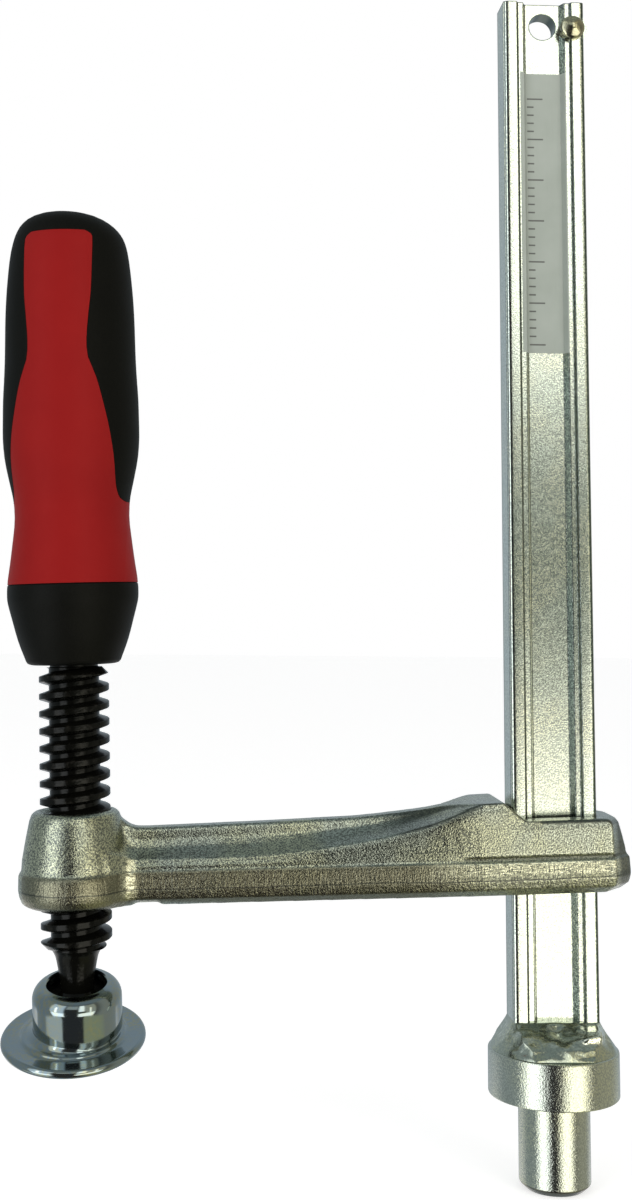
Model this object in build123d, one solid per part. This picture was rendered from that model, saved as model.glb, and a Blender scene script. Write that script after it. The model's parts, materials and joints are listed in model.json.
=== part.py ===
from build123d import *
import os
from math import asin, ceil, cos, degrees, pi, radians, sin, sqrt, tan

# Welding table clamp. Millimetres, +Z up.
# The origin is on the table pin's axis, at the underside of its collar, so z = 0 is the table top.
# +X points from the spindle to the rail's outer edge, and the front face of the rail looks to -Y.

os.makedirs("parts", exist_ok=True)

# Table pin: one turned piece, a plain pin under a wide collar
pin_diameter = 16.0
pin_length = 20.0
pin_chamfer = 1.4
collar_diameter = 29.3
collar_height = 10.0
collar_break = 0.3

# Rail: a drawn flat bar, with the same stepped recess along both faces
rail_width = 19.5
rail_thickness = 9.5
rail_length = 243.8
rail_edge_radius = 0.7
land_width = 3.1
ledge_width = 1.7
ledge_depth = 0.7
step_run = 0.45
web_depth = 2.3
wall_run = 0.75
hole_diameter = 6.4
hole_drop = 5.7

# Stop pin, pressed through the rail near its top end
stop_diameter = 5.8
stop_offset = 6.8
stop_drop = 6.6
stop_protrusion = 2.0
stop_cone_height = 1.1
stop_cone_tip = 0.8
swell_height = 0.8
swell_root = 0.8

# Weld bead between the rail's foot and the collar
weld_height = 7.0
weld_margin = 0.25
weld_front_reach = 12.8
weld_lip = 0.35

# Blank sticker that follows the rail's front recess
sticker_left = 5.8
sticker_right = 5.2
sticker_length = 68.3
sticker_drop = 17.5
sticker_thickness = 0.12

# Sliding arm: forged, with an eyelet around the rail and a threaded boss for the spindle
arm_centre_height = 53.0
arm_sag = 1.97
throat = 98.5
eyelet_height = 16.2
eyelet_half_depth = 9.7
eyelet_reach = 16.0
eyelet_corner_run = 4.6
eyelet_corner_depth = 5.0
eyelet_top_break = 1.6
slot_clearance = 0.05
slot_side_clearance = 0.25
band_height = 8.0
band_step = 0.6
band_break = 0.9
hump_height = 20.4
hump_start = 18.0
hump_end = 12.0
hump_foot = 7.4
beam_half_depth = 6.6
beam_root_height = 10.4
web_half_depth = 2.4
web_root_height = 16.4
web_edge_break = 0.6
cove_depth_share = 0.67
cove_height_share = 0.33
notch_offset = 16.3
notch_width = 5.0
notch_depth = 0.6

# Boss around the spindle
boss_height = 20.7
boss_top_radius = 10.2
boss_radius = 12.3
boss_band_radius = 12.8
boss_band_height = 7.0
boss_top_break = 1.3
boss_foot_break = 1.5

# Spindle: trapezoidal thread, concave neck, ball end
thread_diameter = 16.0
thread_pitch = 3.9
thread_depth = 2.25
thread_crest_share = 0.366
thread_flank_angle = 15.0
thread_clearance = 0.1
thread_sink = 0.3
thread_bottom = 13.3
thread_length = 62.3
thread_lead = 8.55
thread_end_chamfer = 1.6
neck_diameter = 7.4
ball_diameter = 11.0
ball_drop = 22.9
neck_swell_share = 1.06
thread_foot_share = 0.84
shank_diameter = 11.0
shank_length = 64.0
shank_flat_width = 9.6
shank_flat_length = 30.0
groove_angle = 100.0
groove_radius = 0.5
groove_inset = 0.1

# Pieces around the ball
ring_wire_radius = 0.45
cup_wall = 0.84
cup_angle = 140.0
ball_clearance = 0.06

# Pressure plate, tilted on its ball as it hangs
plate_tilt = 14.6
plate_diameter = 32.4
plate_thickness = 2.0
plate_drop = 7.6
plate_height = 14.1
plate_opening = 13.1
dome_diameter = 20.0
dome_wall = 1.6
dome_shoulder = 3.4
foot_ring_width = 2.2
foot_ring_height = 0.7
base_disc_height = 4.4
seat_half_angle = 64.0
cavity_clearance = 0.12
socket_top = 3.0
seat_floor = 1.25

# Handle: hard core, soft grip in two side panels joined over the top, and a skirt at the bottom
handle_gap = 0.7
handle_length = 105.6
handle_radius = 15.8
skirt_length = 18.3
skirt_foot_radius = 10.4
grip_wall = 2.0
grip_bottom = 36.6
window_turn = 8.5
cap_height = 6.7
seam_depth = 0.2
side_lean_share = 0.15
fit_clearance = 0.05
cut_overrun = 1.0

# Outline of the skirt as (share of its height, share of the handle's radius)
skirt_outline_shares = (
    (0.052, 0.694),
    (0.296, 0.794),
    (0.545, 0.876),
    (0.765, 0.942),
    (0.870, 0.953),
)

# Outline of the handle above the skirt, in the same shares
grip_outline_shares = (
    (0.061, 0.902),
    (0.176, 0.834),
    (0.273, 0.915),
    (0.379, 1.000),
    (0.488, 0.995),
    (0.650, 0.961),
    (0.813, 0.921),
    (0.868, 0.895),
    (0.923, 0.822),
    (0.966, 0.650),
    (0.990, 0.380),
)

# Outline of the red window from its top corner down to the grip's foot, as
# (share of the height between the two, half width as a share of the handle's radius)
window_outline_shares = (
    (0.911, 0.503),
    (0.780, 0.494),
    (0.586, 0.430),
    (0.521, 0.447),
    (0.457, 0.541),
    (0.380, 0.620),
    (0.257, 0.715),
    (0.165, 0.753),
    (0.077, 0.750),
)

# The curved front edge of the arm's thick part, as (share of the beam's run, share of the climb)
beam_edge_shares = (
    (0.00, 0.00),
    (0.25, 0.01),
    (0.42, 0.05),
    (0.58, 0.18),
    (0.70, 0.34),
    (0.79, 0.52),
    (0.90, 0.80),
    (1.00, 1.00),
)
web_edge_shares = (0.00, 0.06, 0.11, 0.19, 0.27, 0.42, 0.68, 1.00)

# Values worked out from the ones above
nick_share = 1 - sqrt(0.5)  # how far the middle of a quarter arc stands in from its corner
pin_radius = pin_diameter / 2
collar_radius = collar_diameter / 2
rail_bottom = collar_height
rail_top = rail_bottom + rail_length
rail_half_width = rail_width / 2
rail_half_depth = rail_thickness / 2
thread_radius = thread_diameter / 2
core_radius = thread_radius - thread_depth
ball_radius = ball_diameter / 2
neck_radius = neck_diameter / 2
shank_radius = shank_diameter / 2
stop_radius = stop_diameter / 2
stop_height = rail_top - stop_drop
spindle_offset = rail_half_width + throat
slot_half_width = (
    rail_half_width / cos(radians(arm_sag))
    + eyelet_height / 2 * tan(radians(arm_sag))
    + slot_clearance
)
slot_half_depth = rail_half_depth + slot_side_clearance
band_half_depth = eyelet_half_depth + band_step
thread_top = thread_bottom + thread_length
handle_foot = thread_top + handle_gap
window_top = handle_length - cap_height
plate_radius = plate_diameter / 2
dome_radius = dome_diameter / 2
dome_bore = dome_radius - dome_wall
opening_radius = plate_opening / 2
plate_face = -plate_drop
seat_radius = ball_radius + ball_clearance
cup_outer_radius = seat_radius + cup_wall
ring_path_radius = (ball_radius - groove_inset) * sin(radians(groove_angle))
ring_path_height = (ball_radius - groove_inset) * cos(radians(groove_angle))
cavity_radius = ball_radius - groove_inset + ring_wire_radius + cavity_clearance

# The arm hangs on the rail by its sag, turned about the middle of its slot
arm_place = Pos(0, 0, arm_centre_height) * Rot(0, -arm_sag, 0) * Pos(0, 0, -eyelet_height / 2)
spindle_place = arm_place * Pos(-spindle_offset, 0, -ball_drop)
plate_place = spindle_place * Rot(plate_tilt, 0, 0)


def turned(*rows):
    """A solid of revolution about Z from (radius, height) corners."""
    return revolve(Plane.XZ * make_face(Polyline(*rows, close=True)), Axis.Z)


def turned_lines(*edges):
    """A solid of revolution about Z from the lines and curves of its half section."""
    return revolve(Plane.XZ * make_face(Curve() + list(edges)), Axis.Z)


def slab(outline, half_depth):
    """An (x, z) outline as thick as half_depth to each side of y = 0."""
    return extrude(Plane.XZ * make_face(Polyline(*outline, close=True)), half_depth, both=True)


def upright(outline, low, high):
    """An (x, y) outline standing from the height low to the height high."""
    return extrude(Pos(0, 0, low) * make_face(Polyline(*outline, close=True)), high - low)


def rod(radius, low, high):
    """A cylinder on the Z axis from the height low to the height high."""
    up_from_low = (Align.CENTER, Align.CENTER, Align.MIN)
    return Pos(0, 0, low) * Cylinder(radius, high - low, align=up_from_low)


def crosswise_rod(radius, x, z, half_length):
    """A cylinder along Y through the point x, z."""
    return Pos(x, 0, z) * Rot(90, 0, 0) * Cylinder(radius, 2 * half_length)


def helical_ridge(low, turns, root, crest_radius, crest_width):
    """One trapezoidal thread ridge, wound right-handed up from the height low at +X."""
    foot = root - thread_sink
    spread = crest_width / 2 + (crest_radius - foot) * tan(radians(thread_flank_angle))
    section = Polygon(
        (foot, -spread),
        (crest_radius, -crest_width / 2),
        (crest_radius, crest_width / 2),
        (foot, spread),
        align=None,
    )
    path = Helix(pitch=thread_pitch, height=turns * thread_pitch, radius=root)
    across_start = Plane(origin=(0, 0, 0), x_dir=(1, 0, 0), z_dir=(0, 1, 0))
    ridge = sweep(across_start * section, path=path, is_frenet=True)
    return Pos(0, 0, low) * ridge


def rail_recess_line(side):
    """The recessed stretch of one face of the rail, as section points from -X to +X."""
    ledge = rail_half_width - land_width
    wall = ledge - ledge_width
    face = side * rail_half_depth
    shelf = side * (rail_half_depth - ledge_depth)
    floor = side * (rail_half_depth - web_depth)
    half = (
        (ledge, face),
        (ledge - step_run, shelf),
        (wall, shelf),
        (wall - wall_run, floor),
    )
    left = [(-x, y) for x, y in half]
    return left + list(reversed(half))


def make_rail():
    blank = RectangleRounded(rail_width, rail_thickness, rail_edge_radius)
    for side in (-1, 1):
        line = rail_recess_line(side)
        beyond = side * (rail_half_depth + cut_overrun)
        blank -= make_face(Polyline(*line, (line[-1][0], beyond), (line[0][0], beyond), close=True))
    bar = extrude(Pos(0, 0, rail_bottom) * blank, rail_length)
    swell_radius = rail_half_width - stop_offset + swell_height
    swell = crosswise_rod(swell_radius, stop_offset, stop_height, rail_half_depth)
    swell_start = rail_half_width - swell_root
    keep = Pos(swell_start + swell_radius, 0, stop_height) * Box(
        2 * swell_radius, rail_thickness, 2 * swell_radius
    )
    bar += swell & keep
    bar -= crosswise_rod(hole_diameter / 2, 0, rail_top - hole_drop, rail_thickness)
    return bar - crosswise_rod(stop_radius, stop_offset, stop_height, rail_thickness)


def make_stop_pin():
    half = rail_half_depth + stop_protrusion
    shoulder = half - stop_cone_height
    pin = turned(
        (0, -half),
        (stop_cone_tip, -half),
        (stop_radius, -shoulder),
        (stop_radius, shoulder),
        (stop_cone_tip, half),
        (0, half),
    )
    return Pos(stop_offset, 0, stop_height) * Rot(90, 0, 0) * pin


def make_table_pin():
    return turned(
        (0, -pin_length),
        (pin_radius - pin_chamfer, -pin_length),
        (pin_radius, -pin_length + pin_chamfer),
        (pin_radius, 0),
        (collar_radius - collar_break, 0),
        (collar_radius, collar_break),
        (collar_radius, collar_height),
        (0, collar_height),
    )


def make_weld(rail):
    """A mound with four sloping sides inside the collar's rim, with the rail's foot cut out."""
    rim = collar_radius - weld_margin
    low = collar_height
    high = collar_height + weld_height
    across = rail_half_width + weld_lip
    deep = rail_half_depth + weld_lip
    side_view = slab(((-rim, low), (rim, low), (across, high), (-across, high)), rim)
    end_view = Rot(0, 0, 90) * slab(
        ((-weld_front_reach, low), (weld_front_reach, low), (deep, high), (-deep, high)), rim
    )
    mound = side_view & end_view & rod(rim, low, high)
    return mound - rail


def make_sticker():
    line = rail_recess_line(-1)
    shelf = line[1][1]
    inner = [(sticker_right, shelf), *reversed(line[2:-2]), (-sticker_left, shelf)]
    outer = [(x, y - sticker_thickness) for x, y in reversed(inner)]
    bottom = rail_top - sticker_drop - sticker_length
    return upright(inner + outer, bottom, bottom + sticker_length)


def beam_section(place, half_depth, edge_height, web_height):
    """One upright section of the beam: thick below its front edge, hollowed up to a thin web."""
    shelf = half_depth - band_step / 2
    cove_depth = shelf - cove_depth_share * (shelf - web_half_depth)
    cove_height = edge_height + cove_height_share * (web_height - edge_height)
    right = (
        (half_depth - band_break, 0),
        (half_depth, band_break),
        (half_depth, band_height - band_step / 2),
        (shelf, band_height),
        (shelf, edge_height),
        (cove_depth, cove_height),
        (web_half_depth, web_height - web_edge_break),
        (web_half_depth - web_edge_break, web_height),
    )
    left = [(-y, z) for y, z in reversed(right)]
    plane = Plane(origin=(place, 0, 0), x_dir=(0, 1, 0), z_dir=(1, 0, 0))
    return plane * make_face(Polyline(*right, *left, close=True))


def make_beam():
    start = -spindle_offset
    run = spindle_offset - hump_start
    climb = hump_height - web_edge_break - beam_root_height
    crown = hump_height - web_root_height
    sections = []
    for (along, rise), web_rise in zip(beam_edge_shares, web_edge_shares):
        depth = beam_half_depth + along * (eyelet_half_depth - beam_half_depth)
        edge = beam_root_height + rise * climb
        web = web_root_height + web_rise * crown
        sections.append(beam_section(start + along * run, depth, edge, web))
    return loft(sections, ruled=True)


def eyelet_plan(grow):
    """The eyelet seen from above, from the hump's start to its outer end, grown by grow."""
    depth = eyelet_half_depth + grow
    reach = eyelet_reach + grow
    flat = depth - eyelet_corner_depth
    return (
        (-hump_start, -depth),
        (reach - eyelet_corner_run, -depth),
        (reach, -flat),
        (reach, flat),
        (reach - eyelet_corner_run, depth),
        (-hump_start, depth),
    )


def make_eyelet():
    upper = upright(eyelet_plan(0), 0, hump_height)
    upper &= slab(
        (
            (-hump_start, 0),
            (eyelet_reach + band_step, 0),
            (eyelet_reach + band_step, band_height - band_step),
            (eyelet_reach, band_height),
            (eyelet_reach - eyelet_top_break / 2, eyelet_height - eyelet_top_break),
            (eyelet_reach - eyelet_top_break * 2, eyelet_height),
            (-hump_foot, eyelet_height),
            (-hump_end, hump_height),
            (-hump_start, hump_height),
        ),
        band_half_depth,
    )
    band = upright(eyelet_plan(band_step), 0, band_height)
    rim = band.faces().sort_by(Axis.Z)
    edges = rim[0].edges().sort_by(Axis.X)[1:] + rim[-1].edges().sort_by(Axis.X)[1:]
    band = chamfer(edges, band_step)
    return upper + band


def make_boss():
    return turned(
        (0, 0),
        (boss_band_radius - boss_foot_break, 0),
        (boss_band_radius, boss_foot_break),
        (boss_band_radius, boss_band_height),
        (boss_radius, boss_band_height + boss_band_radius - boss_radius),
        (boss_top_radius, boss_height - boss_top_break),
        (boss_top_radius - boss_top_break, boss_height),
        (0, boss_height),
    )


def boss_thread():
    """The cuts of the threaded bore: its helical groove, the bore at the thread's root, its two leads."""
    bore = rod(core_radius + thread_clearance, -cut_overrun, boss_height + cut_overrun)
    lead_low = thread_lead - ball_drop
    skipped = ceil((-lead_low - thread_pitch) / thread_pitch)
    groove_low = lead_low + skipped * thread_pitch
    turns = ceil((boss_height + thread_pitch - groove_low) / thread_pitch)
    width = thread_pitch * thread_crest_share + 2 * thread_clearance
    groove = helical_ridge(
        groove_low,
        turns,
        core_radius + thread_clearance,
        thread_radius + thread_clearance,
        width,
    )
    mouth = thread_radius + thread_clearance
    root = core_radius + thread_clearance
    leads = turned(
        (0, -cut_overrun),
        (mouth + cut_overrun, -cut_overrun),
        (root, mouth - root),
        (0, mouth - root),
    )
    top = turned(
        (0, boss_height + cut_overrun),
        (mouth + cut_overrun, boss_height + cut_overrun),
        (root, boss_height - mouth + root),
        (0, boss_height - mouth + root),
    )
    return groove, bore, leads + top


def make_arm():
    arm = make_beam() + make_eyelet()
    boss_spot = Pos(-spindle_offset, 0, 0)
    arm += boss_spot * make_boss()
    slot = Pos(0, 0, hump_height / 2) * Box(
        2 * slot_half_width, 2 * slot_half_depth, hump_height + 2 * cut_overrun
    )
    arm -= slot
    notch_place = -spindle_offset + notch_offset
    arm -= Pos(notch_place, 0, 0) * Box(notch_width, 2 * band_half_depth, 2 * notch_depth)
    for cut in boss_thread():
        arm -= boss_spot * cut
    return arm_place * arm


def spindle_core():
    """Ball, concave neck, thread core and the flattened shank, as one turned solid."""
    meet = sqrt(ball_radius**2 - neck_radius**2)
    neck_flare = Spline(
        (neck_radius, meet),
        (neck_radius * neck_swell_share, (meet + thread_bottom) / 2),
        (core_radius * thread_foot_share, thread_bottom - thread_end_chamfer),
        (core_radius, thread_bottom),
    )
    body = turned_lines(
        neck_flare,
        Polyline(
            (core_radius, thread_bottom),
            (core_radius, thread_top),
            (shank_radius, thread_top),
            (shank_radius, handle_foot + shank_length),
            (0, handle_foot + shank_length),
            (0, meet),
            (neck_radius, meet),
        ),
    )
    return body + Sphere(ball_radius)


def shank_flats(width):
    """What two flats leave of the shank's upper stretch, as a box of that width."""
    low = handle_foot + shank_length - shank_flat_length
    return low, Pos(0, 0, low + shank_flat_length) * Box(
        2 * shank_diameter, width, 2 * shank_flat_length
    )


def make_spindle():
    core = spindle_core()
    turns = ceil((thread_top - thread_lead) / thread_pitch) + 1
    crest_width = thread_pitch * thread_crest_share
    ridge = helical_ridge(thread_lead, turns, core_radius, thread_radius, crest_width)
    end_radius = thread_radius - thread_end_chamfer
    envelope = turned(
        (0, thread_bottom),
        (end_radius, thread_bottom),
        (thread_radius + cut_overrun, thread_bottom + thread_end_chamfer + cut_overrun),
        (thread_radius + cut_overrun, thread_top - thread_end_chamfer - cut_overrun),
        (end_radius, thread_top),
        (0, thread_top),
    )
    spindle = core + (ridge & envelope)
    groove = Pos(0, 0, ring_path_height) * Torus(ring_path_radius, groove_radius)
    spindle -= groove
    low, kept = shank_flats(shank_flat_width)
    spindle -= rod(shank_radius + cut_overrun, low, low + 2 * shank_flat_length) - kept
    return spindle_place * spindle


def make_ball_ring():
    return spindle_place * Pos(0, 0, ring_path_height) * Torus(ring_path_radius, ring_wire_radius)


def make_thrust_cup():
    rim = radians(cup_angle)
    inner = (seat_radius * sin(rim), seat_radius * cos(rim))
    outer = (cup_outer_radius * sin(rim), cup_outer_radius * cos(rim))
    half = (rim + pi) / 2
    inner_mid = (seat_radius * sin(half), seat_radius * cos(half))
    outer_mid = (cup_outer_radius * sin(half), cup_outer_radius * cos(half))
    cup = turned_lines(
        ThreePointArc((0, -seat_radius), inner_mid, inner),
        Line(inner, outer),
        ThreePointArc(outer, outer_mid, (0, -cup_outer_radius)),
        Line((0, -cup_outer_radius), (0, -seat_radius)),
    )
    return spindle_place * cup


def make_plate_shell():
    """Drawn steel cap: a flat flange with a rounded rim, and a dome open at the top."""
    base = plate_face
    top = base + plate_height
    rim = plate_thickness / 2
    foot = dome_radius + foot_ring_width
    crown = top - dome_shoulder
    mouth_lift = dome_wall / 2
    corner = (dome_radius - opening_radius) * nick_share
    bulge = (dome_radius - corner, crown + dome_shoulder - corner)
    mouth = (opening_radius, top - mouth_lift)
    lip = (opening_radius + mouth_lift, top)
    inner_top = top - dome_wall - mouth_lift
    shell = turned_lines(
        Line((dome_bore + fit_clearance, base), (plate_radius - rim, base)),
        ThreePointArc(
            (plate_radius - rim, base),
            (plate_radius, base + rim),
            (plate_radius - rim, base + plate_thickness),
        ),
        Line((plate_radius - rim, base + plate_thickness), (foot, base + plate_thickness)),
        Line(
            (foot, base + plate_thickness),
            (foot - foot_ring_height, base + plate_thickness + foot_ring_height),
        ),
        Line(
            (foot - foot_ring_height, base + plate_thickness + foot_ring_height),
            (dome_radius + foot_ring_height, base + plate_thickness + foot_ring_height),
        ),
        Line(
            (dome_radius + foot_ring_height, base + plate_thickness + foot_ring_height),
            (dome_radius, base + plate_thickness + 2 * foot_ring_height),
        ),
        Line((dome_radius, base + plate_thickness + 2 * foot_ring_height), (dome_radius, crown)),
        ThreePointArc((dome_radius, crown), bulge, lip),
        Line(lip, mouth),
        Line(mouth, (opening_radius, inner_top)),
        Line((opening_radius, inner_top), (dome_bore, socket_top + fit_clearance)),
        Line((dome_bore, socket_top + fit_clearance), (dome_bore + fit_clearance, base)),
    )
    return plate_place * shell


def make_plate_base():
    """Disc pressed into the cap from below, with a hollow seat for the cup under the ball."""
    radius = dome_bore
    top = plate_face + base_disc_height
    disc = rod(radius - fit_clearance, plate_face, top)
    return plate_place * (disc - Sphere(cup_outer_radius + ball_clearance))


def make_retaining_ring():
    """Ring inside the cap whose lip holds the ball above its widest line."""
    low = plate_face + base_disc_height
    ring = rod(dome_bore - 2 * fit_clearance, low + fit_clearance, socket_top)
    seat_line = seat_radius * cos(radians(seat_half_angle))
    lip_radius = seat_radius * sin(radians(seat_half_angle))
    ring -= rod(lip_radius, low, socket_top + cut_overrun)
    ring -= Sphere(seat_radius)
    ring -= Sphere(cavity_radius) & rod(dome_radius, -dome_radius, seat_floor)
    flare = (socket_top - seat_line) * tan(radians(seat_half_angle))
    ring -= turned(
        (0, seat_line),
        (lip_radius, seat_line),
        (lip_radius + flare, socket_top),
        (0, socket_top + cut_overrun),
    )
    return plate_place * ring


def handle_rows(shares, low, high, inset):
    """Outline points of the handle between two heights, set in from the surface by inset."""
    return [(r * handle_radius - inset, low + h * (high - low)) for h, r in shares]


def handle_blank(inset):
    """The handle above its skirt, as a turned solid, set in by inset."""
    points = handle_rows(grip_outline_shares, skirt_length, handle_length, inset)
    foot_radius = skirt_outline_shares[-1][1] * handle_radius
    start = (foot_radius - seam_depth - inset, skirt_length)
    tip = (0, handle_length - inset)
    side = Spline(start, *points, tip, tangents=[(-side_lean_share, 1), (-1, 0)])
    return turned_lines(side, Polyline(tip, (0, skirt_length), start))


def window_prism():
    """The red window's outline, run right through the handle along Y."""
    right = handle_rows(window_outline_shares, grip_bottom, window_top, 0)
    shoulder = right[0][0]
    corner = grip_wall
    lobe = right[-1]
    wide = handle_radius + cut_overrun
    top = window_top
    lobe_end = (lobe[0] + grip_wall, grip_bottom)
    curve = Spline(*right, lobe_end)
    below = [lobe_end, (wide, grip_bottom), (wide, 0), (0, 0)]
    outside = Polyline(*below, (0, top), (shoulder - corner, top))
    nick = corner * nick_share
    rounding = ThreePointArc(
        (shoulder - corner, top), (shoulder - nick, top - nick), (shoulder, top - corner)
    )
    side = Line((shoulder, top - corner), right[0])
    half = make_face(Curve() + [curve, outside, rounding, side])
    one = extrude(Plane.XZ * half, wide, both=True)
    return one + mirror(one, Plane.YZ)


def make_handle():
    """The core and the soft grip, cut from one blank so that their faces run on flush."""
    blank = handle_blank(0)
    around = rod(handle_radius + cut_overrun, grip_bottom, handle_length + cut_overrun)
    zone = around - handle_blank(grip_wall)
    zone -= window_prism()
    grip = blank & zone
    core = blank - zone
    bore = rod(shank_radius + fit_clearance, 0, shank_length + fit_clearance)
    low, kept = shank_flats(shank_flat_width + 2 * fit_clearance)
    flats = rod(handle_radius, low, low + 2 * shank_flat_length) - kept
    bore -= Pos(0, 0, -handle_foot) * flats
    core -= Rot(0, 0, window_turn) * bore
    place = spindle_place * Pos(0, 0, handle_foot) * Rot(0, 0, -window_turn)
    return place * core, place * grip


def make_skirt():
    points = handle_rows(skirt_outline_shares, 0, skirt_length, 0)
    join_radius = skirt_outline_shares[-1][1] * handle_radius - seam_depth
    foot_round = points[0][0] - skirt_foot_radius
    bottom = (skirt_foot_radius - foot_round, 0)
    ends = [(1, 0), (-side_lean_share, 1)]
    side = Spline(bottom, *points, (join_radius, skirt_length), tangents=ends)
    bore = shank_radius + fit_clearance
    skirt = turned_lines(
        side, Polyline((join_radius, skirt_length), (bore, skirt_length), (bore, 0), bottom)
    )
    return spindle_place * Pos(0, 0, handle_foot) * skirt


def arm_point(x, z):
    """A point of the arm's own middle plane, in the part's frame."""
    lean = radians(arm_sag)
    lift = z - eyelet_height / 2
    return x * cos(lean) - lift * sin(lean), arm_centre_height + x * sin(lean) + lift * cos(lean)


def print_motion():
    """The places and free travel that the joints and mounts use."""
    lean = radians(arm_sag)
    ball_x, ball_z = arm_point(-spindle_offset, -ball_drop)
    print("ball centre", round(ball_x, 4), round(ball_z, 4))
    print("spindle axis", round(-sin(lean), 6), 0, round(cos(lean), 6))
    under_stop = stop_height - stop_radius
    eyelet_top = arm_point(stop_offset + stop_radius, eyelet_height)[1]
    print("arm travel up", round(under_stop - eyelet_top, 3))
    weld_top = collar_height + weld_height
    eyelet_bottom = arm_point(-rail_half_width - weld_lip, 0)[1]
    print("arm travel down", round(eyelet_bottom - weld_top, 3))
    print("spindle travel down", round(handle_foot - ball_drop - boss_height, 3))
    reach = max(
        sqrt(r * r + z * z)
        for r, z in (
            (opening_radius + dome_wall, plate_face + plate_height),
            (dome_radius, plate_face + plate_height - dome_shoulder),
        )
    )
    print("plate top at any tilt is below", round(reach, 3), "boss foot at", ball_drop)
    free_tilt = seat_half_angle - degrees(asin(neck_radius / ball_radius))
    print("tilt where the neck meets the ring", round(free_tilt, 2))
    tilt = radians(plate_tilt)
    face = (
        ball_x + plate_drop * sin(lean) * cos(tilt),
        plate_drop * sin(tilt),
        ball_z - plate_drop * cos(lean) * cos(tilt),
    )
    print("plate face centre", [round(value, 3) for value in face])


def main():
    rail = make_rail()
    core, grip = make_handle()
    pieces = {
        "rail": rail,
        "stop_pin": make_stop_pin(),
        "table_pin": make_table_pin(),
        "weld_bead": make_weld(rail),
        "rail_sticker": make_sticker(),
        "sliding_arm": make_arm(),
        "spindle": make_spindle(),
        "ball_ring": make_ball_ring(),
        "thrust_cup": make_thrust_cup(),
        "plate_shell": make_plate_shell(),
        "plate_base": make_plate_base(),
        "retaining_ring": make_retaining_ring(),
        "handle_core": core,
        "handle_grip": grip,
        "handle_skirt": make_skirt(),
    }
    for name, piece in pieces.items():
        export_step(piece, "parts/" + name + ".step")
        print(name, len(piece.solids()), round(piece.volume, 1))
    print_motion()


main()
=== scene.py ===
# %% [markdown]
# Welding table clamp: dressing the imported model.
# The construction model already holds every part at its true place and size. This lesson gives it
# its looks. Some parts keep their construction mesh and only get a finish, and others are modelled
# again with the soft edges, weld lumps and mould lines that the real clamp has.

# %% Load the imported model
import json
from math import asin, ceil, cos, degrees, exp, floor, pi, radians, sin, sqrt

import bmesh
import bpy
from mathutils import Matrix, Vector, noise


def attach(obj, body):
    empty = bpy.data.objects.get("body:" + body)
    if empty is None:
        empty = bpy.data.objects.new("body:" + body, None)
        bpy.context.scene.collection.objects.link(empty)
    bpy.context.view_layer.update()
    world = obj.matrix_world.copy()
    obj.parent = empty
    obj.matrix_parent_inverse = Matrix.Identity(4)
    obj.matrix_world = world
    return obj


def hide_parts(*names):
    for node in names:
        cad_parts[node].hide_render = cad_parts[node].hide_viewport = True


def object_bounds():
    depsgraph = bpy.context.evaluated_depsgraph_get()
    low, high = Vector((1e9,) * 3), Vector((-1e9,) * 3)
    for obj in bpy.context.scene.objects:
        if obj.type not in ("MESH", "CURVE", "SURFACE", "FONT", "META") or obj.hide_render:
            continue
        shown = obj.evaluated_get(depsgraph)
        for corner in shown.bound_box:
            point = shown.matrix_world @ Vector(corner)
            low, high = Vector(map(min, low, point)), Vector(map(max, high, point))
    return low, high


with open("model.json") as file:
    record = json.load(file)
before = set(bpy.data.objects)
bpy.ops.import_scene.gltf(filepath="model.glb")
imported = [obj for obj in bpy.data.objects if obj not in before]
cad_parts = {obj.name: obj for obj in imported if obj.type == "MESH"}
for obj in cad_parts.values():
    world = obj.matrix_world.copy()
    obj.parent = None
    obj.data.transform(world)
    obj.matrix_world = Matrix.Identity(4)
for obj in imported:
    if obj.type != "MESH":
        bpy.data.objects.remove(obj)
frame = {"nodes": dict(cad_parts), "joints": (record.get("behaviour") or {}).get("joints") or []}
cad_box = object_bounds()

print("parts:", ", ".join(sorted(frame["nodes"])))

# %% [markdown]
# Every part is drawn in millimetres about its own handy axis, and then placed in the frame's
# metres. The arm leans a little on the rail, so the spindle, the handle and the plate lean with it.
# The lean and the ball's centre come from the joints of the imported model, and the few other
# distances are the part's own sizes.

# %% Units and the places of the moving parts
MM = 0.001
joints = {joint["name"]: joint for joint in frame["joints"]}
ball_centre = Vector(joints["plate_tilt"]["pos_m"])
spindle_up = Vector(joints["spindle_feed"]["axis"]).normalized()
lean = Vector((0, 0, 1)).rotation_difference(spindle_up).to_matrix().to_4x4()

spindle_offset = 108.25
ball_drop = 22.9
plate_tilt = 14.6
handle_foot = 76.3
window_turn = 8.5

upright_frame = Matrix.Scale(MM, 4)
spindle_frame = Matrix.Translation(ball_centre) @ lean @ upright_frame
arm_frame = spindle_frame @ Matrix.Translation((spindle_offset, 0, ball_drop))
plate_frame = spindle_frame @ Matrix.Rotation(radians(plate_tilt), 4, "X")
skirt_frame = spindle_frame @ Matrix.Translation((0, 0, handle_foot))
handle_frame = skirt_frame @ Matrix.Rotation(radians(-window_turn), 4, "Z")
on_rail = (upright_frame, "rail_body")
on_arm = (arm_frame, "arm_body")
on_plate = (plate_frame, "plate_body")
on_spindle = (spindle_frame, "spindle_body")
on_handle = (handle_frame, "spindle_body")
on_skirt = (skirt_frame, "spindle_body")
print("lean in degrees:", round(degrees(spindle_up.angle(Vector((0, 0, 1)))), 2))

# %% [markdown]
# The camera stands where the photograph was taken: a little to the right of the spindle and below
# the middle of the rail, looking slightly up, with the picture's centre shifted as it was cropped.

# %% Camera
camera_place = Vector((-81.846, -368.781, 107.507)) * MM
camera_yaw = radians(-2.384)
camera_pitch = radians(7.099)
camera_roll = radians(-0.515)

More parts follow.
